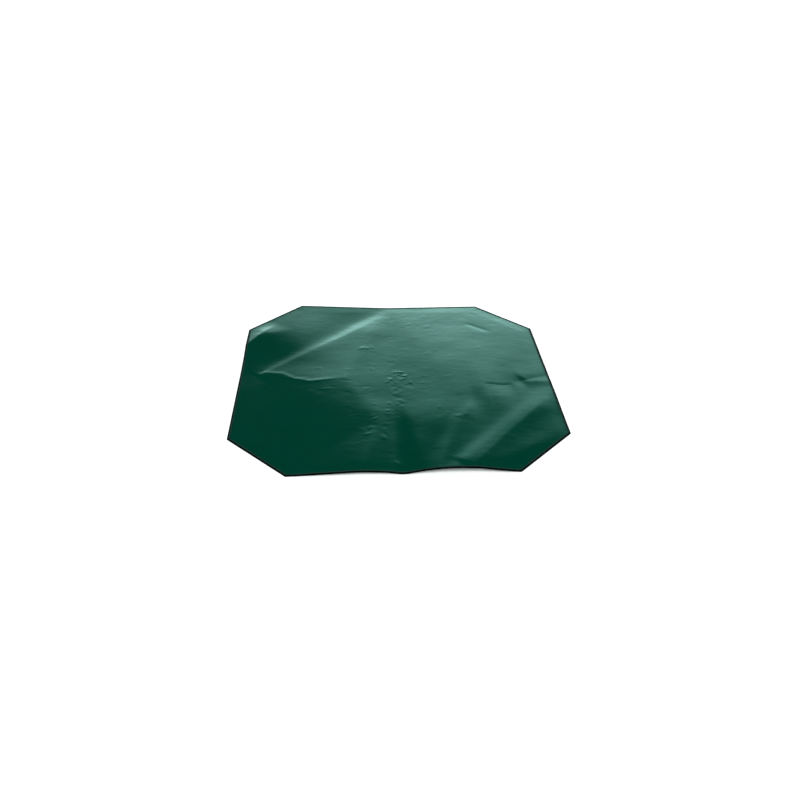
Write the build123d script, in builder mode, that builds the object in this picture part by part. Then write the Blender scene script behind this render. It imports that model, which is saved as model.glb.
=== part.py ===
"""Soft folding spa cover: a thin padded vinyl sheet, square with its corners cut off, laid on the ground.

Frame: millimetres, +Z up. The origin is the middle of the cover at ground level. +Y runs to the back
edge, +X to the right edge, and the cover folds in two about the line X = 0.
"""

from build123d import *
import os

# ---- Driving dimensions ----
WIDTH = 1651.0  # side of the square sheet, 65 in
CORNER_LEG = 292.0  # length that each corner cut takes off a side, 11.5 in
SKIN = 0.6  # vinyl skins, and the binding tape of the same vinyl
FOAM = 5.0  # closed-cell foam sheet between the skins
BAND = 14.0  # width of the edge binding, seen from above
SEAM_INSET = 10.5  # from the cover's edge to the middle of the sewing thread
THREAD_WIDTH = 0.9
THREAD_HEIGHT = 0.35
SEAM_END = 7.0  # thread stops this far from a corner or from the fold
PLY_GAP = 0.05  # clearance between neighbouring pieces

# ---- Heights of the creased sheet's underside above the ground ----
FOLD_RISE = 8.0  # highest place of the centre fold, a little in front of the middle
LEFT_CREASE_RISE = 14.0  # crease that runs out to the left of the middle, at its inner end
RIGHT_SHOULDER_RISE = 19.0  # shoulder to the right of the middle
FRONT_LEFT_RISE = 19.0  # front edge, left of the fold
FRONT_RIGHT_RISE = 34.0  # front edge, right of the fold, where the long diagonal pleat ends
PLEAT_STEP = 4.0  # the pleat's inner side is this much lower than its crest
PLEAT_END_RISE = 8.0  # crest of the pleat at the right edge
BACK_LEFT_RISE = 22.0  # back edge's left corner, lifted by the other diagonal crease
LEFT_BACK_RISE = 13.0  # left edge's back corner
BACK_RIGHT_RISE = 6.0
RIGHT_BACK_RISE = 4.0
FRONT_CORNER_RISE = 5.0  # both ends of the front right corner cut

# ---- Worked out ----
HALF = WIDTH / 2
SIDE = HALF - CORNER_LEG  # half the length of each straight side
FOAM_BOTTOM = SKIN + PLY_GAP
TOP_SKIN_BOTTOM = FOAM_BOTTOM + FOAM + PLY_GAP
THICKNESS = TOP_SKIN_BOTTOM + SKIN
PRISM_TOP = 100.0  # above every piece, for cutting outlines straight down
PRISM_DEPTH = 120.0

# ---- Creases: points on the sheet's underside ----
FRONT_MIDDLE = (0, -HALF, 0)
FOLD_HIGH = (0, -250, FOLD_RISE)
BACK_MIDDLE = (0, HALF, 0)

FRONT_LEFT_STEP = (-80, -HALF, 0.7 * FRONT_LEFT_RISE)
FRONT_LEFT_CREST = (-200, -HALF, FRONT_LEFT_RISE)
FRONT_LEFT_CORNER = (-SIDE, -HALF, 0)
LEFT_FRONT_CORNER = (-HALF, -SIDE, 0)
LEFT_MIDDLE = (-HALF, 55, 0)
CREASE_TIP = (-730, 55, 0)
LEFT_CREASE_OUTER = (-450, -40, 0.75 * LEFT_CREASE_RISE)
LEFT_CREASE_INNER = (-270, -15, LEFT_CREASE_RISE)
LEFT_CREASE_FRONT = (-100, -400, LEFT_CREASE_RISE)
DIAGONAL_BANK = (-350, 360, 0.35 * LEFT_CREASE_RISE)
LEFT_BACK_CORNER = (-HALF, SIDE, LEFT_BACK_RISE)
BACK_LEFT_CORNER = (-SIDE, HALF, BACK_LEFT_RISE)

FRONT_RIGHT_STEP = (80, -HALF, 0.55 * FRONT_RIGHT_RISE)
PLEAT_INNER_FRONT = (166, -HALF, FRONT_RIGHT_RISE - PLEAT_STEP)
PLEAT_INNER_RIGHT = (HALF, -50, PLEAT_END_RISE - PLEAT_STEP)
PLEAT_CREST_FRONT = (232, -HALF, FRONT_RIGHT_RISE)
PLEAT_CREST_RIGHT = (HALF, -165, PLEAT_END_RISE)
PLEAT_OUTER_FRONT = (335, -HALF, 0.9 * FRONT_RIGHT_RISE)
FRONT_RIGHT_CORNER = (SIDE, -HALF, FRONT_CORNER_RISE)
RIGHT_FRONT_CORNER = (HALF, -SIDE, FRONT_CORNER_RISE)
RIGHT_SHOULDER = (350, -250, RIGHT_SHOULDER_RISE)
RIGHT_BACK_CORNER = (HALF, SIDE, RIGHT_BACK_RISE)
BACK_RIGHT_CORNER = (SIDE, HALF, BACK_RIGHT_RISE)

# Each facet's corners run anticlockwise, seen from above.
LEFT_FACETS = [
    (LEFT_FRONT_CORNER, FRONT_LEFT_CORNER, CREASE_TIP, LEFT_MIDDLE),
    (FRONT_LEFT_CORNER, LEFT_CREASE_OUTER, CREASE_TIP),
    (FRONT_LEFT_CORNER, LEFT_CREASE_INNER, LEFT_CREASE_OUTER),
    (FRONT_LEFT_CORNER, LEFT_CREASE_FRONT, LEFT_CREASE_INNER),
    (FRONT_LEFT_CORNER, FRONT_LEFT_CREST, LEFT_CREASE_FRONT),
    (FRONT_LEFT_CREST, FRONT_LEFT_STEP, LEFT_CREASE_FRONT),
    (FRONT_LEFT_STEP, FOLD_HIGH, LEFT_CREASE_FRONT),
    (FRONT_LEFT_STEP, FRONT_MIDDLE, FOLD_HIGH),
    (LEFT_CREASE_FRONT, FOLD_HIGH, LEFT_CREASE_INNER),
    (LEFT_CREASE_INNER, FOLD_HIGH, BACK_MIDDLE),
    (LEFT_CREASE_INNER, BACK_MIDDLE, DIAGONAL_BANK),
    (LEFT_CREASE_OUTER, LEFT_CREASE_INNER, DIAGONAL_BANK),
    (CREASE_TIP, LEFT_CREASE_OUTER, DIAGONAL_BANK),
    (CREASE_TIP, DIAGONAL_BANK, BACK_MIDDLE),
    (CREASE_TIP, BACK_MIDDLE, BACK_LEFT_CORNER),
    (CREASE_TIP, BACK_LEFT_CORNER, LEFT_BACK_CORNER),
    (LEFT_MIDDLE, CREASE_TIP, LEFT_BACK_CORNER),
]
RIGHT_FACETS = [
    (FRONT_MIDDLE, FRONT_RIGHT_STEP, FOLD_HIGH),
    (FRONT_RIGHT_STEP, PLEAT_INNER_FRONT, RIGHT_SHOULDER),
    (FRONT_RIGHT_STEP, RIGHT_SHOULDER, FOLD_HIGH),
    (PLEAT_INNER_FRONT, PLEAT_INNER_RIGHT, RIGHT_SHOULDER),
    (PLEAT_INNER_FRONT, PLEAT_CREST_FRONT, PLEAT_INNER_RIGHT),
    (PLEAT_CREST_FRONT, PLEAT_CREST_RIGHT, PLEAT_INNER_RIGHT),
    (PLEAT_CREST_FRONT, PLEAT_OUTER_FRONT, PLEAT_CREST_RIGHT),
    (PLEAT_OUTER_FRONT, RIGHT_FRONT_CORNER, PLEAT_CREST_RIGHT),
    (PLEAT_OUTER_FRONT, FRONT_RIGHT_CORNER, RIGHT_FRONT_CORNER),
    (FOLD_HIGH, RIGHT_SHOULDER, BACK_MIDDLE),
    (RIGHT_SHOULDER, PLEAT_INNER_RIGHT, RIGHT_BACK_CORNER),
    (RIGHT_SHOULDER, RIGHT_BACK_CORNER, BACK_RIGHT_CORNER),
    (RIGHT_SHOULDER, BACK_RIGHT_CORNER, BACK_MIDDLE),
]


def half_outline(side, inset):
    """Plan of one half of the cover, drawn in by inset, from the fold round to the fold again.

    side is -1 for the left half and 1 for the right. An edge drawn in by inset ends on its corners'
    mitre lines, so the straight sides lose inset times the tangent of a quarter of a right angle.
    """
    mitre = inset * (2**0.5 - 1)
    fold = side * PLY_GAP / 2
    half = HALF - inset
    straight = SIDE - mitre
    return [
        (fold, -half),
        (side * straight, -half),
        (side * half, -straight),
        (side * half, straight),
        (side * straight, half),
        (fold, half),
    ]


def add_sheet(facets, bottom, thickness):
    """Adds a creased sheet to the part being built: one prism per facet, all raised by bottom."""
    for facet in facets:
        corners = [Vector(corner) + Vector(0, 0, bottom) for corner in facet]
        along = corners[1] - corners[0]
        plane = Plane(corners[0], x_dir=along, z_dir=along.cross(corners[2] - corners[0]))
        local_corners = [plane.to_local_coords(corner) for corner in corners]
        with BuildSketch(plane) as facet_face:
            with BuildLine():
                Polyline(*[(corner.X, corner.Y) for corner in local_corners], close=True)
            make_face()
        extrude(facet_face.sketch, amount=thickness, dir=(0, 0, 1))


def keep_inside(outlines):
    """Keeps only what stands inside the given plan outlines of the part being built."""
    with BuildSketch(Plane.XY.offset(PRISM_TOP)) as plan:
        for outline in outlines:
            with BuildLine():
                Polyline(*outline, close=True)
            make_face()
    extrude(plan.sketch, amount=-PRISM_DEPTH, mode=Mode.INTERSECT)


def edge_strip(side, index, outer, inner, trim):
    """Plan of the strip beside one of a half's five edges, numbered from the front fold round.

    It lies between two insets, its ends are on the corners' mitre lines, and each end is cut back
    by trim along the edge.
    """
    outer_start, outer_end = [Vector(corner) for corner in half_outline(side, outer)[index : index + 2]]
    inner_start, inner_end = [Vector(corner) for corner in half_outline(side, inner)[index : index + 2]]
    back = (outer_end - outer_start).normalized() * trim
    corners = [outer_start + back, outer_end - back, inner_end - back, inner_start + back]
    return [(corner.X, corner.Y) for corner in corners]


def finish(built, name):
    """Labels a finished piece and writes it as its own file."""
    built.part.label = name
    export_step(built.part, f"parts/{name}.step")


def make_ply(name, facets, side, inset, bottom, thickness):
    """One flat layer of one half: a skin, or the foam sheet."""
    with BuildPart() as ply:
        add_sheet(facets, bottom, thickness)
        keep_inside([half_outline(side, inset)])
    finish(ply, name)


def make_binding(name, whole, core, side, index):
    """A tape folded round one edge: a leg below the foam, a web outside it and a leg above it."""
    with BuildPart() as tape:
        add(whole.part)
        keep_inside([edge_strip(side, index, 0, BAND, PLY_GAP / 2)])
        add(core.part, mode=Mode.SUBTRACT)
    finish(tape, name)


def make_stitching(name, facets, side):
    """The lines of thread that hold one half's binding, one line to an edge."""
    outer = SEAM_INSET - THREAD_WIDTH / 2
    inner = SEAM_INSET + THREAD_WIDTH / 2
    with BuildPart() as thread:
        add_sheet(facets, THICKNESS + PLY_GAP, THREAD_HEIGHT)
        keep_inside([edge_strip(side, index, outer, inner, SEAM_END) for index in range(5)])
    finish(thread, name)


def make_half(half_name, facets, side, edge_names):
    """Every piece of one half of the cover."""
    skin_inset = BAND + PLY_GAP
    foam_inset = SKIN + PLY_GAP
    make_ply(f"bottom_skin_{half_name}", facets, side, skin_inset, 0, SKIN)
    make_ply(f"foam_panel_{half_name}", facets, side, foam_inset, FOAM_BOTTOM, FOAM)
    make_ply(f"top_skin_{half_name}", facets, side, skin_inset, TOP_SKIN_BOTTOM, SKIN)
    make_stitching(f"stitching_{half_name}", facets, side)
    with BuildPart() as whole:
        add_sheet(facets, 0, THICKNESS)
        keep_inside([half_outline(side, 0)])
    with BuildPart() as core:
        add_sheet(facets, SKIN, THICKNESS - 2 * SKIN)
        keep_inside([half_outline(side, SKIN)])
    for index, edge_name in enumerate(edge_names):
        make_binding(f"binding_{edge_name}", whole, core, side, index)


os.makedirs("parts", exist_ok=True)
make_half(
    "left",
    LEFT_FACETS,
    -1,
    ["front_left", "front_left_corner", "left", "back_left_corner", "back_left"],
)
make_half(
    "right",
    RIGHT_FACETS,
    1,
    ["front_right", "front_right_corner", "right", "back_right_corner", "back_right"],
)
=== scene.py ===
"""Looks of the soft folding spa cover: creased glossy vinyl over foam, with a bound and stitched edge.

Everything is in metres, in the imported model's frame: +Z up, the ground at Z = 0, +Y to the back edge,
+X to the right edge, and the cover folds in two about the line X = 0.
"""

import bpy
import math
import numpy as np
from mathutils import Matrix, Vector
from mathutils.bvhtree import BVHTree


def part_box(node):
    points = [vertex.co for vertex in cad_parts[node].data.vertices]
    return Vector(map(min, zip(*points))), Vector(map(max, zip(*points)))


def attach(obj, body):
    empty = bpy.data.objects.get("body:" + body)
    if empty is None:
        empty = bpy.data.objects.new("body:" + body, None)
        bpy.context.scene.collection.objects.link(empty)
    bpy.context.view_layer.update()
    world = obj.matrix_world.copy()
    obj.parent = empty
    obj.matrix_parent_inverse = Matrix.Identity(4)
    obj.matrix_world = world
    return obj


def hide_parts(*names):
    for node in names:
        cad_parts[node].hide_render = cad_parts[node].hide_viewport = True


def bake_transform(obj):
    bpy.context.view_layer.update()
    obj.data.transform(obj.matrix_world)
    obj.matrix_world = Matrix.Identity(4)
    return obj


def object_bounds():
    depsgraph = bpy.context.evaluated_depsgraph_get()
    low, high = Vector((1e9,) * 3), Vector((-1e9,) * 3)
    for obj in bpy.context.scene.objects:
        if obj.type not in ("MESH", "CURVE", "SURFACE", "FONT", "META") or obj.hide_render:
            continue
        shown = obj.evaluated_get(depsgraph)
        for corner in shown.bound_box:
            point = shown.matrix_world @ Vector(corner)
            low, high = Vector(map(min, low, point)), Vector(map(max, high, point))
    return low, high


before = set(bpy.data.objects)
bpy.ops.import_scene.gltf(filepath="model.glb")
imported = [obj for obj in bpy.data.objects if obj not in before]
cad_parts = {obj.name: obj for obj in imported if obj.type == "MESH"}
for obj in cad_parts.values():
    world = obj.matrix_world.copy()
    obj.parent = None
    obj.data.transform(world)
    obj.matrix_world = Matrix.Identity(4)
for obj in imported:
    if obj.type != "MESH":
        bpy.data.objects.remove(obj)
cad_low, cad_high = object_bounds()

# ---- Sizes from the frame ----
WIDTH = cad_high.x - cad_low.x
HALF = WIDTH / 2
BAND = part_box("binding_left")[1].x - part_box("binding_left")[0].x  # width of the binding tape
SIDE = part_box("binding_left")[1].y  # half the length of each straight side
CORNER_LEG = HALF - SIDE
MITRE = math.tan(math.radians(22.5))  # how far a line drawn in by 1 is cut back at each corner

# ---- Layers, as heights above the underside, in the open field and where the binding pinches them ----
VINYL = 0.0006
SKIN_INSET = 0.002  # from the edge of the cover
FOAM_INSET = 0.004
BOTTOM_SKIN = (0.0, 0.0007)
FOAM_LOW = (0.0010, 0.0013)
FOAM_HIGH = (0.0047, 0.0043)
TOP_SKIN = (0.0054, 0.0047)
PINCH_REACH = 0.070  # how far in from the binding the layers ease back to full thickness

# ---- Binding tape ----
TAPE = 0.0004
TAPE_LOW = 0.00025
TAPE_HIGH = 0.00575
TAPE_TURN_STEPS = 9
TAPE_LEG_STEPS = 7
UNDERSIDE = 2 * VINYL  # a point of the tape's outline lower than this is on its underside
CORNER_GAP = 0.00015  # between tapes at a corner, measured along each
SEAM_INSET = 0.0105
PUCKER = 0.00012  # how far a stitch draws the tape in
PUCKER_REACH = 0.002

# ---- Stitching ----
STITCH_PITCH = 0.005
STITCH_LENGTH = 0.0042
STITCH_CLEARANCE = 2 * BAND / 3  # kept clear of the corners
THREAD_RADIUS = 0.00028
THREAD_SIDES = 6
THREAD_RINGS = 5
THREAD_ARCH = 1.3  # how far a stitch rises from its ends to its middle, in thread radii
THREAD_SINK = 0.8  # and how far its ends lie in the tape
THREAD_TAPER = 0.35  # how much thinner it is at its ends, as a part of its radius

# ---- Meshes of the sheets ----
TOP_SPACING = 0.0062
CORE_SPACING = 0.011  # of the foam and the bottom skin
FINE_HALF_WIDTH = 0.16  # the strip along the middle fold where the columns are finer
CREASED_ROWS = (-0.13, 0.09)  # the rows across the cover's small creases are finer too
CREASE_FINENESS = 2
EDGE_STRIP = 0.028
EDGE_FINENESS = 2.5

# ---- Relief ----
RELIEF_STEP = 0.004
SOFT_BLUR = 0.022  # standard deviation of the rounding where the sheet has relaxed
CRISP_BLUR = 0.005  # and along the left fold, which is still sharp
CRISP_REACH = 0.035  # how far from that fold the rounding stays tight
SOFT_FOOT = 0.25  # how gradually the flank of a fold runs out, as a part of its width
NEARNESS_FLOOR = 0.001  # added to a distance before it is raised to a negative power
NEARNESS_POWER = 4
SETTLE = 0.0012  # how softly the sheet flattens where it meets the ground
GROUND_GAP = 0.0002  # keeps the rim clear of the floor between the points where the relief is measured

# Long soft waves
WAVE_SEED = 5
WAVES = 9
WAVE_LENGTH = (0.09, 0.34)
WAVE_SPREAD = 0.5  # of their bearings about the way to the back, in radians
WAVE_SLOPE = 0.0015

# Crinkles of the top skin: how many, middle and spread of the field, range of length, range of height, where
# a negative height is a wrinkle pressed into the foam
CRINKLE_SEED = 11
CRINKLE_WIDTH = (0.006, 0.012)
CRINKLE_FAR_FLANK = 1.6  # the right flank and the rounding of the crest, as parts of the left flank's width
CRINKLE_ROUNDING = 0.15
CRINKLE_TURN = 0.55  # spread of their bearings about +X, in radians
CRINKLE_BEND = 0.5  # and of the bend at their middle
CRINKLE_MARGIN = 0.05  # kept clear of the edge
WRINKLE_DEPTH = 0.0004  # as far as the skin can be pressed into the foam
CRINKLE_FIELDS = [
    (26, (0.03, -0.02), (0.04, 0.05), (0.03, 0.08), (-0.0008, 0.0007)),  # across the middle fold
    (22, (0.005, -0.22), (0.025, 0.08), (0.02, 0.06), (-0.0008, 0.0006)),  # and along it
    (34, (-0.10, -0.42), (0.06, 0.12), (0.03, 0.08), (-0.0005, 0.0007)),  # left of the front fold
    (12, (0.12, 0.68), (0.10, 0.08), (0.03, 0.08), (-0.0004, 0.0006)),  # at the back end of the fold
    (26, (0.14, 0.25), (0.14, 0.14), (0.03, 0.08), (-0.0004, 0.0004)),  # the back right quarter
    (12, (-0.30, -0.14), (0.10, 0.04), (0.06, 0.15), (-0.0006, 0.0005)),  # in front of the left fold
    (6, (-0.14, 0.30), (0.025, 0.02), (0.03, 0.06), (0.0003, 0.0006)),  # the bright nick left of the fold
    (10, (0.28, -0.40), (0.04, 0.04), (0.02, 0.06), (-0.0006, 0.0006)),  # the nick in front right
    (50, (0.05, 0.0), (0.45, 0.40), (0.04, 0.12), (-0.0002, 0.0003)),  # scattered
]

# ---- Colours: linear red, green and blue ----
TOP_DARK = (0.0, 0.0225, 0.0130)
TOP_LIGHT = (0.0, 0.0285, 0.0170)
TOP_GLINT = (0.0, 1.0, 0.85)
BOTTOM_DARK = (0.004, 0.022, 0.016)
BOTTOM_LIGHT = (0.012, 0.036, 0.028)
TAPE_DARK = (0.0, 0.006, 0.004)
TAPE_LIGHT = (0.001, 0.013, 0.009)
# Painted shade: the near-black colour of the tape round its turn, where its edge is in shade
TAPE_TURN_SHADE = (0.0, 0.0012, 0.0008)
TAPE_TURN_SHADE_FADE = (0.006, 0.002)  # where painted shade darkens the tape's top towards its turn, measured back from it
FOAM_LIGHT = (0.62, 0.64, 0.65)
FOAM_DARK = (0.45, 0.47, 0.48)
THREAD_DARK = (0.004, 0.018, 0.014)
THREAD_LIGHT = (0.012, 0.045, 0.035)
FLOOR_GREY = (0.8, 0.8, 0.8)


def facet_heights(grid_x, grid_y):
    """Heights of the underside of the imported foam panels, looked up from below at each point."""
    graph = bpy.context.evaluated_depsgraph_get()
    panels = (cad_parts[name] for name in ("foam_panel_left", "foam_panel_right"))
    trees = [BVHTree.FromObject(panel, graph) for panel in panels]
    margin = 0.002
    nudges = (0, 0.0003, -0.0003)  # for a ray that slips between two triangles
    heights = np.zeros(grid_x.shape)
    for index in np.ndindex(grid_x.shape):
        x = float(np.clip(grid_x[index], -HALF + margin, HALF - margin))
        reach = min(HALF, HALF + SIDE - abs(x)) - 2 * margin
        y = float(np.clip(grid_y[index], -reach, reach))
        x = math.copysign(max(abs(x), margin), x)
        tree = trees[int(x > 0)]
        hits = (tree.ray_cast(Vector((x, y + nudge, -1)), Vector((0, 0, 1)))[0] for nudge in nudges)
        heights[index] = next(hit.z for hit in hits if hit is not None)
    return heights - heights.min()


def blurred(values, sigma):
    """Gaussian blur of a square grid by sigma metres, its border values carried outward."""
    cells = sigma / (LINE[1] - LINE[0])
    reach = int(math.ceil(3 * cells))
    kernel = np.exp(-0.5 * (np.arange(-reach, reach + 1) / cells) ** 2)
    kernel /= kernel.sum()
    for axis in (0, 1):
        padded = np.pad(values, [(reach, reach) if a == axis else (0, 0) for a in (0, 1)], mode="edge")
        values = np.apply_along_axis(lambda line: np.convolve(line, kernel, mode="valid"), axis, padded)
    return values


def smooth(t):
    """0 before 0, 1 after 1, and a smooth step between."""
    t = np.clip(t, 0, 1)
    return t * t * (3 - 2 * t)


def polyline(x, y, points):
    """Distance to a line through points, which side of it each place is on (+1 left), and how far along.
    How far along is a mean over the spans, weighted to the nearest, so that it never jumps at a bend."""
    spans = list(zip(points[:-1], points[1:]))
    total = sum(math.dist(a, b) for a, b in spans)
    nearest = np.full(x.shape, np.inf)
    side = np.zeros(x.shape)
    along, weights = np.zeros(x.shape), np.zeros(x.shape)
    done = 0.0
    for a, b in spans:
        length = math.dist(a, b)
        dx, dy = (b[0] - a[0]) / length, (b[1] - a[1]) / length
        reach = np.clip((x - a[0]) * dx + (y - a[1]) * dy, 0, length)
        away_x, away_y = x - a[0] - reach * dx, y - a[1] - reach * dy
        away = np.hypot(away_x, away_y)
        closer = away < nearest
        nearest = np.where(closer, away, nearest)
        side = np.where(closer, np.sign(dx * away_y - dy * away_x), side)
        weight = (away + NEARNESS_FLOOR) ** -NEARNESS_POWER
        along += weight * (done + reach)
        weights += weight
        done += length
    return nearest, side, along / weights / total


def fold(x, y, points, height, left, right, rounding, ends):
    """A tent along a line: this high, with flanks this wide on its left and right, a crest this round, and
    dying away over the first and last parts of the line. A negative height makes it a valley."""
    away, side, along = polyline(x, y, points)
    width = np.where(side > 0, left, right)
    rounded = np.sqrt(away**2 + rounding**2) - rounding
    start, finish = ends
    taper = smooth(along / start if start else 1) * smooth((1 - along) / finish if finish else 1)
    return height * taper * SOFT_FOOT * np.log1p(np.exp((1 - rounded / width) / SOFT_FOOT))


def swell(x, y, centre, long_radius, short_radius, bearing, height):
    """A smooth hump or, with a negative height, a hollow; its long axis runs at bearing degrees from +X."""
    turn = math.radians(bearing)
    dx, dy = x - centre[0], y - centre[1]
    long_way = (dx * math.cos(turn) + dy * math.sin(turn)) / long_radius
    short_way = (dy * math.cos(turn) - dx * math.sin(turn)) / short_radius
    return height * np.exp(-0.5 * (long_way**2 + short_way**2))


# Soft humps and hollows: centre, long and short radius, bearing of the long axis, height
SWELLS = [
    ((-0.56, 0.44), 0.17, 0.14, 60, 0.0095),  # the rise behind the diagonal
    ((-0.50, -0.12), 0.22, 0.18, 100, 0.0055),  # the slope in front of the left fold
    ((0.20, -0.40), 0.17, 0.12, 90, 0.0060),  # right of the front fold
    ((0.34, 0.05), 0.28, 0.14, 90, 0.0045),  # and its long tail to the back
    ((0.60, -0.60), 0.26, 0.13, 50, -0.0085),  # outside the pleat
    ((-0.05, 0.35), 0.20, 0.05, 80, -0.0015),  # beside the fold at the back
]

# Folds: points, height, width of the left and right flank, rounding, how much of each end fades
LEFT_FOLD = [(-0.72, 0.065), (-0.60, 0.04), (-0.54, -0.015), (-0.45, -0.045), (-0.33, -0.02), (-0.27, -0.01)]
DIAGONAL_BANK = [(-0.73, 0.02), (-0.25, 0.48), (0.00, 0.76)]
CORNER_FLAP = [(-HALF, 0.34), (-0.74, 0.48), (-0.66, 0.60)]
PLEAT_CREST = [(0.30, -HALF), (0.50, -0.56), (0.81, -0.18)]
LENS_TOP = [(0.38, -0.23), (0.62, -0.21)]
LENS_SIDE = [(0.31, -0.44), (0.38, -0.25)]
RIGHT_FOLD_INNER = [(0.44, -0.10), (0.56, -0.11), (0.63, -0.09)]
RIGHT_FOLD_OUTER = [(0.60, -0.09), (0.72, -0.04), (HALF, 0.00)]
RIGHT_SHELF = [(0.66, -0.08), (0.74, -0.06), (HALF, -0.06)]
BACK_FOLD = [(0.43, 0.61), (0.50, 0.55), (0.60, 0.47)]
FRONT_FOLD = [(0.01, -HALF), (0.01, -0.30)]
FOLDS = [
    (DIAGONAL_BANK, 0.0045, 0.10, 0.20, 0.008, (0.02, 0.3)),
    (LEFT_FOLD, 0.0010, 0.02, 0.03, 0.002, (0.1, 0.3)),
    (CORNER_FLAP, 0.0100, 0.08, 0.10, 0.003, (0, 0.6)),
    (PLEAT_CREST, 0.0035, 0.10, 0.06, 0.003, (0.05, 0.3)),
    (LENS_TOP, 0.0030, 0.30, 0.20, 0.006, (0.4, 0.5)),
    (LENS_SIDE, 0.0012, 0.03, 0.05, 0.002, (0.3, 0.5)),
    (RIGHT_FOLD_INNER, -0.0009, 0.018, 0.06, 0.002, (0.3, 0.3)),
    (RIGHT_FOLD_OUTER, -0.0012, 0.035, 0.06, 0.004, (0.3, 0)),
    (RIGHT_SHELF, 0.0022, 0.15, 0.05, 0.004, (0.3, 0)),
    (BACK_FOLD, -0.0008, 0.020, 0.03, 0.002, (0.3, 0.4)),
    (FRONT_FOLD, -0.0015, 0.05, 0.08, 0.002, (0, 0.4)),
]


LINE = np.linspace(-HALF, HALF, int(round(WIDTH / RELIEF_STEP)) + 1)
GRID_X, GRID_Y = np.meshgrid(LINE, LINE, indexing="ij")


def rounded_facets():
    """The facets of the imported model, rounded widely, and tightly along the left fold."""
    facets = facet_heights(GRID_X, GRID_Y)
    away = polyline(GRID_X, GRID_Y, LEFT_FOLD)[0]
    crisp = np.exp(-((away / CRISP_REACH) ** 2))
    return blurred(facets, SOFT_BLUR) * (1 - crisp) + blurred(facets, CRISP_BLUR) * crisp


BASE = rounded_facets()


def base_height(x, y):
    """The rounded facets between the grid's points, by a cubic B-spline."""
    step = LINE[1] - LINE[0]
    last = len(LINE) - 1.001  # just short of the last point
    gx = np.clip((x + HALF) / step, 0, last)
    gy = np.clip((y + HALF) / step, 0, last)
    ix, iy = gx.astype(int), gy.astype(int)

    def weights(t):
        """The shares of the four points around a place that is t of the way from the second to the third."""
        return (
            (1 - t) ** 3 / 6,
            (3 * t**3 - 6 * t**2 + 4) / 6,
            (-3 * t**3 + 3 * t**2 + 3 * t + 1) / 6,
            t**3 / 6,
        )

    total = 0
    for i, weight_x in enumerate(weights(gx - ix)):
        for j, weight_y in enumerate(weights(gy - iy)):
            column = np.clip(ix + i - 1, 0, len(LINE) - 1)
            row = np.clip(iy + j - 1, 0, len(LINE) - 1)
            total = total + weight_x * weight_y * BASE[column, row]
    return total


def undulation(x, y):
    """The slight waviness of a sheet that has lain folded: a few long waves in seeded directions."""
    draw = np.random.default_rng(WAVE_SEED)
    total = 0
    for _ in range(WAVES):
        length = draw.uniform(*WAVE_LENGTH)
        bearing = draw.normal(math.pi / 2, WAVE_SPREAD)
        phase = draw.uniform(0, 2 * math.pi)
        steps = (x * math.cos(bearing) + y * math.sin(bearing)) * 2 * math.pi / length + phase
        total = total + WAVE_SLOPE * length / (2 * math.pi) * np.sin(steps)
    return total


def shape(x, y):
    """The facets, swells, folds and waves together, laid on the ground: where they would sink below it, the
    sheet flattens softly."""
    swells = sum(swell(x, y, *values) for values in SWELLS)
    folds = sum(fold(x, y, *values) for values in FOLDS)
    height = base_height(x, y) + swells + folds + undulation(x, y)
    return SETTLE * np.logaddexp(0, height / SETTLE)


LOWEST = shape(GRID_X, GRID_Y)[np.abs(GRID_X) + np.abs(GRID_Y) < HALF + SIDE].min()


def relief(x, y):
    """Height of the underside of the cover above the ground, which it all but touches at its lowest point."""
    return shape(x, y) - LOWEST + GROUND_GAP


def crinkle_lines():
    """Seeded short bent creases, most of them along the middle fold: points, height and width of flank."""
    draw = np.random.default_rng(CRINKLE_SEED)
    lines = []
    for count, centre, spread, length, height in CRINKLE_FIELDS:
        for _ in range(count):
            x = draw.normal(centre[0], spread[0])
            y = draw.normal(centre[1], spread[1])
            reach = draw.uniform(*length) / 2
            bearing = draw.normal(0, CRINKLE_TURN)
            bend = draw.normal(0, CRINKLE_BEND)
            start = (x - reach * math.cos(bearing - bend), y - reach * math.sin(bearing - bend))
            finish = (x + reach * math.cos(bearing + bend), y + reach * math.sin(bearing + bend))
            rise = draw.uniform(*height)
            if abs(x) + abs(y) < HALF + SIDE - CRINKLE_MARGIN and max(abs(x), abs(y)) < HALF - CRINKLE_MARGIN:
                lines.append(([start, (x, y), finish], rise, draw.uniform(*CRINKLE_WIDTH)))
    return lines


def crinkles(x, y):
    """Rise of the top skin over its crinkles, each worked out only near itself."""
    total = np.zeros(x.shape)
    for points, height, width in crinkle_lines():
        middle = points[1]
        reach = max(math.dist(points[0], middle), math.dist(points[2], middle)) + 2 * width
        near = (np.abs(x - middle[0]) < reach) & (np.abs(y - middle[1]) < reach)
        flanks = (width, CRINKLE_FAR_FLANK * width)
        total[near] += fold(x[near], y[near], points, height, *flanks, CRINKLE_ROUNDING * width, (0.5, 0.5))
    return np.where(total < 0, WRINKLE_DEPTH * np.tanh(total / WRINKLE_DEPTH), total)


def top_relief(x, y):
    """The relief with the crinkles that only the top skin has."""
    return relief(x, y) + crinkles(x, y)


# ---- Mesh helpers and pieces ----
def edge_distance(x, y):
    """How far in from the nearest edge of the flat cover."""
    corner = (HALF + SIDE - np.abs(x) - np.abs(y)) / math.sqrt(2)
    return np.minimum(np.minimum(HALF - np.abs(x), HALF - np.abs(y)), corner)


def layer(x, y, heights):
    """A layer's height above the underside: the first value in the field, the second under the binding."""
    pinch = 1 - smooth((edge_distance(x, y) - BAND) / PINCH_REACH)
    return heights[0] + (heights[1] - heights[0]) * pinch


def stations(*stretches):
    """Places along a line from stretches of (start, end, spacing)."""
    parts = [np.linspace(a, b, max(2, int(round(abs(b - a) / step)) + 1))[:-1] for a, b, step in stretches]
    return np.concatenate(parts + [[stretches[-1][1]]])


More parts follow.
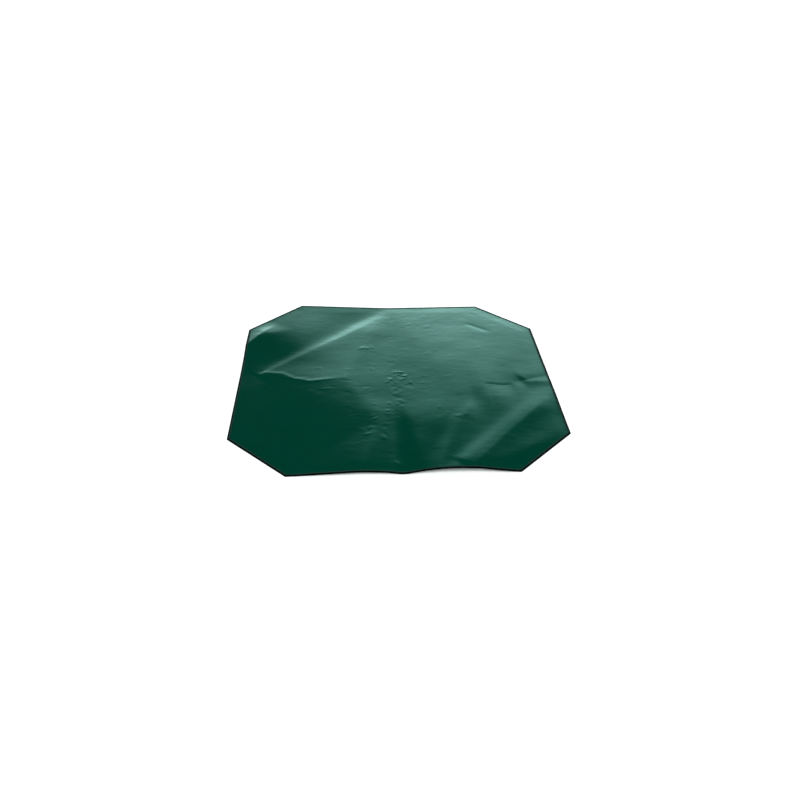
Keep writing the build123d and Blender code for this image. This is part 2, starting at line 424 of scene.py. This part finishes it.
def mesh_piece(name, points, faces, flat, material):
    """A smooth piece from arrays; its UV map is the place of each point on the uncut cloth, in metres."""
    mesh = bpy.data.meshes.new(name)
    mesh.from_pydata(points.tolist(), [], faces)
    mesh.polygons.foreach_set("use_smooth", [True] * len(mesh.polygons))
    corners = np.empty(len(mesh.loops), np.int32)
    mesh.loops.foreach_get("vertex_index", corners)
    mesh.uv_layers.new(name="flat").data.foreach_set("uv", np.asarray(flat)[corners].ravel())
    mesh.materials.append(material)
    mesh.update()
    piece = bpy.data.objects.new(name, mesh)
    bpy.context.scene.collection.objects.link(piece)
    return piece


def octagon_grid(inset, across, back):
    """A grid of points over the octagon drawn in by inset. Across runs from -1 to 1. Back has the rows of the
    front corners, 0 to 1, of the straight sides, -1 to 1, and of the back corners, 0 to 1."""
    straight, half = SIDE - inset * MITRE, HALF - inset
    front, middle, rear = back
    leg = half - straight
    rows = np.concatenate([-half + leg * front, straight * middle[1:-1], straight + leg * rear])
    width = np.where(np.abs(rows) <= straight, half, half - (np.abs(rows) - straight))
    x = width[:, None] * across[None, :]
    y = np.repeat(rows[:, None], len(across), axis=1)
    return x, y


def sheet_piece(name, inset, spacing, low, high, surface, material):
    """A closed sheet over the octagon, between two heights above the relief."""
    fine = FINE_HALF_WIDTH / HALF
    edge = EDGE_STRIP / HALF
    step = spacing / HALF
    across = stations(
        (-1, -1 + edge, step / EDGE_FINENESS),
        (-1 + edge, -fine, step),
        (-fine, fine, step / CREASE_FINENESS),
        (fine, 1 - edge, step),
        (1 - edge, 1, step / EDGE_FINENESS),
    )
    strip = EDGE_STRIP / CORNER_LEG
    front = stations((0, strip, spacing / CORNER_LEG / EDGE_FINENESS), (strip, 1, spacing / CORNER_LEG))
    creased = [row / SIDE for row in CREASED_ROWS]
    middle = stations(
        (-1, creased[0], spacing / SIDE),
        (creased[0], creased[1], spacing / SIDE / CREASE_FINENESS),
        (creased[1], 1, spacing / SIDE),
    )
    x, y = octagon_grid(inset, across, (front, middle, (1 - front)[::-1]))
    z = surface(x, y)
    count = x.size
    top = np.stack([x, y, z + layer(x, y, high)], axis=-1).reshape(-1, 3)
    bottom = np.stack([x, y, z + layer(x, y, low)], axis=-1).reshape(-1, 3)
    number = np.arange(count).reshape(x.shape)
    a, b = number[:-1, :-1].ravel(), number[:-1, 1:].ravel()
    c, d = number[1:, 1:].ravel(), number[1:, :-1].ravel()
    rim = np.concatenate([number[0, :-1], number[:-1, -1], number[-1, :0:-1], number[:0:-1, 0]])
    after = np.roll(rim, -1)
    faces = np.stack([a, b, c, d], axis=1).tolist()
    faces += (np.stack([a, d, c, b], axis=1) + count).tolist()
    faces += np.stack([rim, rim + count, after + count, after], axis=1).tolist()
    points = np.concatenate([top, bottom])
    return mesh_piece(name, points, faces, points[:, :2], material)


def edges():
    """The eight edges of the octagon, anticlockwise: name, start and end corner, and the CAD tapes there."""
    corners = [
        (-SIDE, -HALF), (SIDE, -HALF), (HALF, -SIDE), (HALF, SIDE),
        (SIDE, HALF), (-SIDE, HALF), (-HALF, SIDE), (-HALF, -SIDE),
    ]
    names = ["front", "front_right_corner", "right", "back_right_corner", "back", "back_left_corner", "left",
             "front_left_corner"]
    split = {"front": ["front_left", "front_right"], "back": ["back_right", "back_left"]}
    for index, name in enumerate(names):
        yield name, corners[index], corners[(index + 1) % 8], split.get(name, [name])


def along_edge(start, end, inset, steps):
    """Points on the line parallel to an edge at this inset, mitred at its ends; steps runs 0 to 1."""
    length = math.dist(start, end)
    dx, dy = (end[0] - start[0]) / length, (end[1] - start[1]) / length
    cut = inset * MITRE + CORNER_GAP
    way = cut + steps * (length - 2 * cut)
    return start[0] + dx * way - dy * inset, start[1] + dy * way + dx * inset, way


def tape_section():
    """The folded tape's closed outline as (inset, height): over the top, round the edge and under."""
    middle, radius = (TAPE_HIGH + TAPE_LOW) / 2, (TAPE_HIGH - TAPE_LOW) / 2
    turn = np.linspace(math.pi / 2, -math.pi / 2, TAPE_TURN_STEPS)
    leg = np.linspace(BAND, radius, TAPE_LEG_STEPS)[:-1]
    outer = [(inset, TAPE_HIGH) for inset in leg]
    outer += [(radius - radius * math.cos(a), middle + radius * math.sin(a)) for a in turn]
    outer += [(inset, TAPE_LOW) for inset in leg[::-1]]
    inner_radius = radius - TAPE
    inner = [(inset, TAPE_LOW + TAPE) for inset in leg]
    inner += [(radius - inner_radius * math.cos(a), middle + inner_radius * math.sin(a)) for a in turn[::-1]]
    inner += [(inset, TAPE_HIGH - TAPE) for inset in leg[::-1]]
    return outer + inner


def tape_piece(name, start, end, material):
    """A binding tape folded round one edge, drawn in a little at each stitch."""
    section = tape_section()
    count = int(math.dist(start, end) / STITCH_PITCH) * 2
    steps = np.linspace(0, 1, count + 1)
    tug = np.where(np.arange(count + 1) % 2 == 0, 1.0, 0.0)
    points, flat = [], []
    girth = 0.0
    for index, (inset, height) in enumerate(section):
        x, y, way = along_edge(start, end, inset, steps)
        near_seam = math.exp(-(((inset - SEAM_INSET) / PUCKER_REACH) ** 2))
        lift = -PUCKER * tug * near_seam * (1 if height > UNDERSIDE else -1)
        points.append(np.stack([x, y, relief(x, y) + height + lift], axis=-1))
        if index:
            girth += math.dist(section[index], section[index - 1])
        flat.append(np.stack([way, np.full(way.shape, girth)], axis=-1))
    points, flat = np.concatenate(points), np.concatenate(flat)
    number = np.arange(len(points)).reshape(len(section), count + 1)
    ring = np.roll(number, -1, axis=0)
    around = np.stack([number[:, :-1], number[:, 1:], ring[:, 1:], ring[:, :-1]], axis=-1)
    faces = around.reshape(-1, 4).tolist()
    faces += [number[::-1, 0].tolist(), number[:, -1].tolist()]
    return mesh_piece(name, points, faces, flat, material)


def stitch_piece(name, start, end, material):
    """A row of stitches through the tape, above and below, each an arched length of thread."""
    count = int(math.dist(start, end) / STITCH_PITCH) - 1
    turn = np.linspace(0, 2 * math.pi, THREAD_SIDES + 1)[:-1]
    arch = np.linspace(-1, 1, THREAD_RINGS)
    length = math.dist(start, end)
    dx, dy = (end[0] - start[0]) / length, (end[1] - start[1]) / length
    middle = (np.arange(count) + 1) * length / (count + 1)
    middle = middle[(middle > STITCH_CLEARANCE) & (middle < length - STITCH_CLEARANCE)]
    points, flat = [], []
    for level, rise in ((TAPE_HIGH, 1), (TAPE_LOW, -1)):
        for place in arch:
            way = middle + place * STITCH_LENGTH / 2
            lift = rise * (THREAD_RADIUS * THREAD_ARCH * (1 - place**4) - THREAD_RADIUS * THREAD_SINK)
            for angle in turn:
                out = THREAD_RADIUS * math.cos(angle) * (1 - THREAD_TAPER * place**4)
                up = THREAD_RADIUS * math.sin(angle) * (1 - THREAD_TAPER * place**4)
                x = start[0] + dx * way - dy * (SEAM_INSET + out)
                y = start[1] + dy * way + dx * (SEAM_INSET + out)
                points.append(np.stack([x, y, relief(x, y) + level + lift + up], axis=-1))
                flat.append(np.stack([way, np.full(way.shape, angle * THREAD_RADIUS)], axis=-1))
    stitches = len(middle)
    points, flat = np.concatenate(points), np.concatenate(flat)
    number = np.arange(len(points)).reshape(2, THREAD_RINGS, THREAD_SIDES, stitches)
    beside = np.roll(number, -1, axis=2)
    around = np.stack([number[:, :-1], beside[:, :-1], beside[:, 1:], number[:, 1:]], axis=-1)
    faces = around.reshape(-1, 4).tolist()
    faces += np.moveaxis(number[:, 0, ::-1], 1, -1).reshape(-1, THREAD_SIDES).tolist()
    faces += np.moveaxis(number[:, -1], 1, -1).reshape(-1, THREAD_SIDES).tolist()
    return mesh_piece(name, points, faces, flat, material)


# ---- Materials ----
def nodes_of(name):
    """A new material, its node tree and its shader."""
    material = bpy.data.materials.new(name)
    material.use_nodes = True
    tree = material.node_tree
    return material, tree, tree.nodes["Principled BSDF"]


def math_node(tree, operation, *values):
    """A Math node; each value is a number or a socket."""
    node = tree.nodes.new("ShaderNodeMath")
    node.operation = operation
    for index, value in enumerate(values):
        if isinstance(value, bpy.types.NodeSocket):
            tree.links.new(value, node.inputs[index])
        else:
            node.inputs[index].default_value = value
    return node.outputs[0]


def range_node(tree, value, low, high, to_low, to_high, kind="LINEAR"):
    """A value that runs from to_low to to_high as the one given runs from low to high."""
    node = tree.nodes.new("ShaderNodeMapRange")
    node.interpolation_type = kind
    tree.links.new(value, node.inputs["Value"])
    for name, number in (("From Min", low), ("From Max", high), ("To Min", to_low), ("To Max", to_high)):
        node.inputs[name].default_value = number
    return node.outputs[0]


def flat_place(tree, stretch=(1, 1, 1)):
    """The place on the flat cloth, in metres, stretched by a factor along each axis."""
    place = tree.nodes.new("ShaderNodeUVMap")
    place.uv_map = "flat"
    mapping = tree.nodes.new("ShaderNodeMapping")
    mapping.inputs["Scale"].default_value = stretch
    tree.links.new(place.outputs[0], mapping.inputs["Vector"])
    return mapping.outputs[0]


def noise_node(tree, place, scale, detail=2.0, roughness=0.5):
    """Cloudy noise between 0 and 1."""
    node = tree.nodes.new("ShaderNodeTexNoise")
    tree.links.new(place, node.inputs["Vector"])
    node.inputs["Scale"].default_value = scale
    node.inputs["Detail"].default_value = detail
    node.inputs["Roughness"].default_value = roughness
    return node.outputs["Fac"]


def bump_node(tree, height, distance, normal=None):
    """A normal bent by a height, this many metres deep, over another bump if one is given."""
    node = tree.nodes.new("ShaderNodeBump")
    node.inputs["Distance"].default_value = distance
    tree.links.new(height, node.inputs["Height"])
    if normal is not None:
        tree.links.new(normal, node.inputs["Normal"])
    return node.outputs["Normal"]


def colour_between(tree, fraction, first, second):
    """A colour that runs from first to second as fraction runs from 0 to 1; each is a colour or a socket."""
    node = tree.nodes.new("ShaderNodeMix")
    node.data_type = "RGBA"
    tree.links.new(fraction, node.inputs["Factor"])
    for name, colour in (("A", first), ("B", second)):
        if isinstance(colour, bpy.types.NodeSocket):
            tree.links.new(colour, node.inputs[name])
        else:
            node.inputs[name].default_value = (*colour, 1)
    return node.outputs["Result"]


def weave(tree, place, pitch):
    """The height of a plain weave of this pitch."""
    parts = tree.nodes.new("ShaderNodeSeparateXYZ")
    tree.links.new(place, parts.inputs[0])
    warp = math_node(tree, "SINE", math_node(tree, "MULTIPLY", parts.outputs["X"], 2 * math.pi / pitch))
    weft = math_node(tree, "SINE", math_node(tree, "MULTIPLY", parts.outputs["Y"], 2 * math.pi / pitch))
    return math_node(tree, "MULTIPLY", warp, weft)


def top_vinyl():
    """Glossy green vinyl: faint weave showing through, slight ripples, scuffs and a little colour change."""
    material, tree, shader = nodes_of("top_vinyl")
    place = flat_place(tree)
    blotches = noise_node(tree, place, scale=7, detail=3)
    colour = colour_between(tree, blotches, TOP_DARK, TOP_LIGHT)
    scuffs = noise_node(tree, flat_place(tree, stretch=(14, 60, 1)), scale=1, detail=4, roughness=0.65)
    roughness = range_node(tree, scuffs, low=0.35, high=0.75, to_low=0.09, to_high=0.13)
    ripples = noise_node(tree, flat_place(tree, stretch=(12, 20, 1)), scale=1, detail=4, roughness=0.55)
    rippled = bump_node(tree, ripples, distance=0.00045)
    grain = bump_node(tree, noise_node(tree, place, scale=900), distance=0.000004, normal=rippled)
    woven = bump_node(tree, weave(tree, place, pitch=0.0022), distance=0.0000025, normal=grain)
    tree.links.new(colour, shader.inputs["Base Color"])
    tree.links.new(roughness, shader.inputs["Roughness"])
    tree.links.new(woven, shader.inputs["Normal"])
    shader.inputs["Specular Tint"].default_value = (*TOP_GLINT, 1)
    return material


def bottom_vinyl():
    """The underside: a duller, darker vinyl with its backing cloth showing and dust rubbed into it."""
    material, tree, shader = nodes_of("bottom_vinyl")
    place = flat_place(tree)
    dust = noise_node(tree, place, scale=5, detail=5, roughness=0.6)
    roughness = range_node(tree, dust, low=0.3, high=0.7, to_low=0.34, to_high=0.5)
    woven = bump_node(tree, weave(tree, place, pitch=0.0028), distance=0.00003)
    grain = bump_node(tree, noise_node(tree, place, scale=500, detail=3), distance=0.00004, normal=woven)
    tree.links.new(colour_between(tree, dust, BOTTOM_DARK, BOTTOM_LIGHT), shader.inputs["Base Color"])
    tree.links.new(roughness, shader.inputs["Roughness"])
    tree.links.new(grain, shader.inputs["Normal"])
    return material


def binding_cloth():
    """Dark woven tape, rubbed grey on top, with painted shade that makes it almost black round the turn."""
    material, tree, shader = nodes_of("binding_tape")
    place = flat_place(tree)
    parts = tree.nodes.new("ShaderNodeSeparateXYZ")
    tree.links.new(place, parts.inputs[0])
    leg = BAND - (TAPE_HIGH - TAPE_LOW) / 2  # the length of the tape's top, before it turns
    far, near = TAPE_TURN_SHADE_FADE
    girth = parts.outputs["Y"]
    # Painted shade: round the turn the tape's colour fades to near black and its gloss goes
    turned = range_node(tree, girth, leg - far, leg - near, to_low=0, to_high=1, kind="SMOOTHSTEP")
    rubbed = noise_node(tree, place, scale=60, detail=4, roughness=0.6)
    colour = colour_between(tree, turned, colour_between(tree, rubbed, TAPE_DARK, TAPE_LIGHT), TAPE_TURN_SHADE)
    roughness = range_node(tree, rubbed, low=0.3, high=0.7, to_low=0.42, to_high=0.56)
    gloss = range_node(tree, turned, low=0, high=1, to_low=0.04, to_high=0)
    woven = bump_node(tree, weave(tree, place, pitch=0.0012), distance=0.00008)
    tree.links.new(colour, shader.inputs["Base Color"])
    tree.links.new(roughness, shader.inputs["Roughness"])
    tree.links.new(gloss, shader.inputs["Specular IOR Level"])
    tree.links.new(woven, shader.inputs["Normal"])
    return material


def foam():
    """Pale closed-cell foam."""
    material, tree, shader = nodes_of("foam")
    place = flat_place(tree)
    cells = tree.nodes.new("ShaderNodeTexVoronoi")
    cells.inputs["Scale"].default_value = 600
    tree.links.new(place, cells.inputs["Vector"])
    depth = cells.outputs["Distance"]
    patches = noise_node(tree, place, scale=40)
    roughness = range_node(tree, patches, low=0, high=1, to_low=0.85, to_high=0.95)
    tree.links.new(colour_between(tree, depth, FOAM_LIGHT, FOAM_DARK), shader.inputs["Base Color"])
    tree.links.new(roughness, shader.inputs["Roughness"])
    tree.links.new(bump_node(tree, depth, distance=0.0002), shader.inputs["Normal"])
    return material


def thread():
    """Twisted green-black sewing thread."""
    material, tree, shader = nodes_of("thread")
    twist = tree.nodes.new("ShaderNodeTexWave")
    twist.bands_direction = "DIAGONAL"
    twist.inputs["Scale"].default_value = 700
    tree.links.new(flat_place(tree), twist.inputs["Vector"])
    ply = twist.outputs["Fac"]
    roughness = range_node(tree, ply, low=0, high=1, to_low=0.65, to_high=0.5)
    tree.links.new(colour_between(tree, ply, THREAD_DARK, THREAD_LIGHT), shader.inputs["Base Color"])
    tree.links.new(roughness, shader.inputs["Roughness"])
    tree.links.new(bump_node(tree, ply, distance=0.00008), shader.inputs["Normal"])
    return material


# ---- The cover ----
def make_cover():
    """Every piece of the cover, each riding its half or, where it crosses the middle fold, with its transform
    baked in.
    """
    top_face = tuple(height + VINYL for height in TOP_SKIN)
    bottom_face = tuple(height + VINYL for height in BOTTOM_SKIN)
    top = sheet_piece("top_skin", SKIN_INSET, TOP_SPACING, TOP_SKIN, top_face, top_relief, top_vinyl())
    core = sheet_piece("foam_sheet", FOAM_INSET, CORE_SPACING, FOAM_LOW, FOAM_HIGH, relief, foam())
    bottom = sheet_piece(
        "bottom_skin", SKIN_INSET, CORE_SPACING, BOTTOM_SKIN, bottom_face, relief, bottom_vinyl()
    )
    for piece, slot, nodes in (
        (top, "top_vinyl", "top_skin"),
        (core, "foam", "foam_panel"),
        (bottom, "bottom_vinyl", "bottom_skin"),
    ):
        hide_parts(nodes + "_left", nodes + "_right")
        bend(piece)
    tape_cloth, sewing = binding_cloth(), thread()
    trim = []
    for name, start, end, cad_tapes in edges():
        tape = tape_piece("tape_" + name, start, end, tape_cloth)
        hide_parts(*["binding_" + cad for cad in cad_tapes])
        row = stitch_piece("stitches_" + name, start, end, sewing)
        for piece in (tape, row):
            if start[0] * end[0] < 0:
                bend(piece)
            else:
                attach(piece, "right_half" if start[0] + end[0] > 0 else "left_half")
        trim += [tape, row]
        if name == "left":
            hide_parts("stitching_left")
        if name == "right":
            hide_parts("stitching_right")


def bend(piece):
    """Bakes the transform of a piece that crosses the middle fold into its mesh."""
    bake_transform(piece)


# ---- Floor ----
FLOOR_REACH = 40  # half its width


def make_floor():
    """A wide matt floor."""
    mesh = bpy.data.meshes.new("floor")
    corners = [(x * FLOOR_REACH, y * FLOOR_REACH, 0) for x, y in ((-1, -1), (1, -1), (1, 1), (-1, 1))]
    mesh.from_pydata(corners, [], [(0, 1, 2, 3)])
    material, _, shader = nodes_of("floor")
    shader.inputs["Base Color"].default_value = (*FLOOR_GREY, 1)
    shader.inputs["Roughness"].default_value = 1
    shader.inputs["Specular IOR Level"].default_value = 0
    mesh.materials.append(material)
    floor = bpy.data.objects.new("floor", mesh)
    bpy.context.scene.collection.objects.link(floor)


# ---- The glow that the vinyl mirrors ----
WIDE_TOP = math.radians(31)  # height of the middle of the glow's soft upper edge above the horizon
WIDE_SOFT = math.radians(7)  # half the width of that edge
WIDE_GLOW = 1.8
LOW_TOP = math.radians(24.5)
LOW_SOFT = math.radians(2)
LOW_GLOW = 2.0
LEFT_DROP = math.radians(40)  # how fast the glow's edge falls to the left, for each radian of bearing
BEARING_TURNS = 4  # a sine of this many times the bearing brings the edge back up before the side
SIDE_SHARE = 0.35  # the glow's strength from the sides and the front, against that from behind
BEHIND = (0.5, 0.8)  # cosine of the bearing from +Y over which it changes
HORIZON_SHARE = 0.15  # its strength at the horizon, against that higher up
HORIZON_TOP = math.radians(14)  # where it has its full strength
ABOVE_GLOW = 1.0  # a soft top light
ABOVE = (math.radians(48), math.radians(60))  # the heights over which it begins
GLOW_COLOUR = (0.76, 1.0, 0.96, 1)


def make_glow():
    """A soft band of light low round the studio, strongest behind, its upper edge falling to the left, and a
    soft light above. The camera sees plain white in their place."""
    world = bpy.data.worlds.new("studio")
    bpy.context.scene.world = world
    world.use_nodes = True
    tree = world.node_tree
    background = tree.nodes["Background"]
    direction = tree.nodes.new("ShaderNodeTexCoord").outputs["Generated"]
    parts = tree.nodes.new("ShaderNodeSeparateXYZ")
    tree.links.new(direction, parts.inputs[0])
    height = math_node(tree, "ARCSINE", parts.outputs["Z"])
    bearing = math_node(tree, "ARCTAN2", parts.outputs["X"], parts.outputs["Y"])
    turned = math_node(tree, "SINE", math_node(tree, "MULTIPLY", bearing, BEARING_TURNS))
    sideways = math_node(tree, "MULTIPLY", turned, 1 / BEARING_TURNS)
    drop = math_node(tree, "MULTIPLY", math_node(tree, "MINIMUM", sideways, 0), LEFT_DROP)
    level = math_node(tree, "SUBTRACT", height, drop)
    wide = range_node(tree, level, WIDE_TOP - WIDE_SOFT, WIDE_TOP + WIDE_SOFT, WIDE_GLOW, 0, "SMOOTHSTEP")
    low = range_node(tree, level, LOW_TOP - LOW_SOFT, LOW_TOP + LOW_SOFT, LOW_GLOW, 0, "SMOOTHSTEP")
    behind = range_node(tree, math_node(tree, "COSINE", bearing), *BEHIND, SIDE_SHARE, 1, "SMOOTHSTEP")
    raised = range_node(tree, height, 0, HORIZON_TOP, HORIZON_SHARE, 1, "SMOOTHSTEP")
    share = math_node(tree, "MULTIPLY", behind, raised)
    strength = math_node(tree, "MULTIPLY", math_node(tree, "ADD", wide, low), share)
    above = range_node(tree, height, *ABOVE, 0, ABOVE_GLOW, "SMOOTHSTEP")
    tree.links.new(math_node(tree, "ADD", strength, above), background.inputs["Strength"])
    backdrop = tree.nodes.new("ShaderNodeBackground")
    backdrop.inputs["Color"].default_value = (1, 1, 1, 1)
    seen = tree.nodes.new("ShaderNodeMixShader")
    tree.links.new(tree.nodes.new("ShaderNodeLightPath").outputs["Is Camera Ray"], seen.inputs["Fac"])
    tree.links.new(background.outputs[0], seen.inputs[1])
    tree.links.new(backdrop.outputs[0], seen.inputs[2])
    tree.links.new(seen.outputs[0], tree.nodes["World Output"].inputs["Surface"])
    background.inputs["Color"].default_value = GLOW_COLOUR


KEY_STRENGTH = 4.2
KEY_SPREAD = math.radians(40)
KEY_DIRECTION = (0.3, 1, -1.25)


def make_key_light():
    """A soft sun from above the front, which lights the floor evenly."""
    light = bpy.data.lights.new("key", "SUN")
    light.energy = KEY_STRENGTH
    light.angle = KEY_SPREAD
    key = bpy.data.objects.new("key", light)
    bpy.context.scene.collection.objects.link(key)
    key.rotation_euler = Vector(KEY_DIRECTION).to_track_quat("-Z", "Y").to_euler()


CAMERA_PLACE = (-0.209, -3.752, 2.306)
PITCH = math.radians(33.0)  # downward
ROLL = math.radians(1.1)
YAW = math.radians(3.6)  # to the right of +Y
SENSOR_WIDTH = 36  # in millimetres, as the lens is
LENS = 37.2


def make_camera():
    """The photograph's view: a standing viewer in front, a little left of the middle, looking down."""
    forward = Vector((math.sin(YAW) * math.cos(PITCH), math.cos(YAW) * math.cos(PITCH), -math.sin(PITCH)))
    level = Vector((math.cos(YAW), -math.sin(YAW), 0))
    above = level.cross(forward)
    right = math.cos(ROLL) * level + math.sin(ROLL) * above
    up = -math.sin(ROLL) * level + math.cos(ROLL) * above
    data = bpy.data.cameras.new("camera")
    data.sensor_width = SENSOR_WIDTH
    data.lens = LENS
    camera = bpy.data.objects.new("camera", data)
    bpy.context.scene.collection.objects.link(camera)
    turn = Matrix((right, up, -forward)).transposed()
    camera.matrix_world = Matrix.Translation(CAMERA_PLACE) @ turn.to_4x4()
    bpy.context.scene.camera = camera


make_cover()
make_floor()
make_glow()
make_key_light()
make_camera()
bpy.context.scene.view_settings.view_transform = "Standard"
